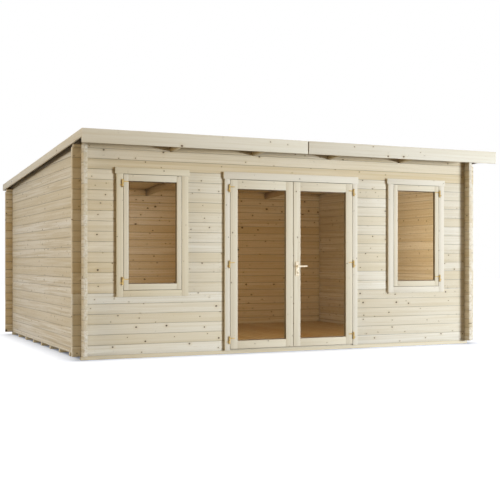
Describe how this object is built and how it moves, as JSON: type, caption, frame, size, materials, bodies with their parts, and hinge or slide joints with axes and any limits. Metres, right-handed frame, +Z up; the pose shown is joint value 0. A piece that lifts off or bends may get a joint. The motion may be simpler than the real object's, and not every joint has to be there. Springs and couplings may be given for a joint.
{
  "type": "log cabin",
  "caption": "Garden log cabin of notched logs with crossing corners, a shallow pent roof, glazed double doors and a tall window on each side of them.",
  "frame": {"origin": "on the ground under the middle of the roof", "axes": "+X along the front to the right seen from outside, +Y from front to back, +Z up"},
  "size_m": [5.376, 4.578, 2.4716],
  "materials": {
    "logs": "planed, untreated",
    "framing": "planed, untreated",
    "floor_boards": "planed, untreated",
    "felt": "mineral felt, matt",
    "roof_trim": "planed, untreated",
    "joinery": "planed smooth",
    "glass": "clear",
    "brass": "polished"
  },
  "bodies": {
    "cabin": {"front_low_logs_left": "logs", "front_low_logs_right": "logs", "front_corner_logs_left": "logs", "front_corner_logs_right": "logs", "front_pier_logs_left": "logs", "front_pier_logs_right": "logs", "front_header_logs": "logs", "front_top_log": "logs", "back_wall_logs": "logs", "back_top_log": "logs", "left_wall_logs": "logs", "right_wall_logs": "logs", "bearers": "framing", "rafters": "framing", "roof_deck": "framing", "floor": "floor_boards", "roof_felt": "felt", "front_fascia_left": "roof_trim", "front_fascia_right": "roof_trim", "back_fascia": "roof_trim", "left_bargeboard": "roof_trim", "right_bargeboard": "roof_trim", "left_window_trim": "joinery", "left_window_frame": "joinery", "left_window_sash": "joinery", "right_window_trim": "joinery", "right_window_frame": "joinery", "right_window_sash": "joinery", "door_trim": "joinery", "door_frame": "joinery", "door_threshold": "joinery", "left_window_glass": "glass", "right_window_glass": "glass", "left_window_hinges": "brass", "right_window_hinges": "brass", "left_frame_hinges": "brass", "right_frame_hinges": "brass"},
    "left_door": {"left_door_frame": "joinery", "left_door_glass": "glass", "left_door_hinges": "brass"},
    "right_door": {"right_door_frame": "joinery", "right_door_glass": "glass", "right_door_hinges": "brass", "outer_handle_plate": "brass", "inner_handle_plate": "brass"},
    "lever": {"door_lever": "brass"}
  },
  "joints": [
    {"name": "left_door_swing", "type": "hinge", "parent": "cabin", "child": "left_door", "pos_m": [-0.835, -1.879, 1.044], "axis": [0, 0, -1], "range_deg": [0, 170]},
    {"name": "right_door_swing", "type": "hinge", "parent": "cabin", "child": "right_door", "pos_m": [0.835, -1.879, 1.044], "axis": [0, 0, 1], "range_deg": [0, 170]},
    {"name": "lever_turn", "type": "hinge", "parent": "right_door", "child": "lever", "pos_m": [0.05, -1.849, 1.02], "axis": [0, 1, 0], "range_deg": [0, 40], "stiffness_Nm_per_rad": 1.5}
  ]
}
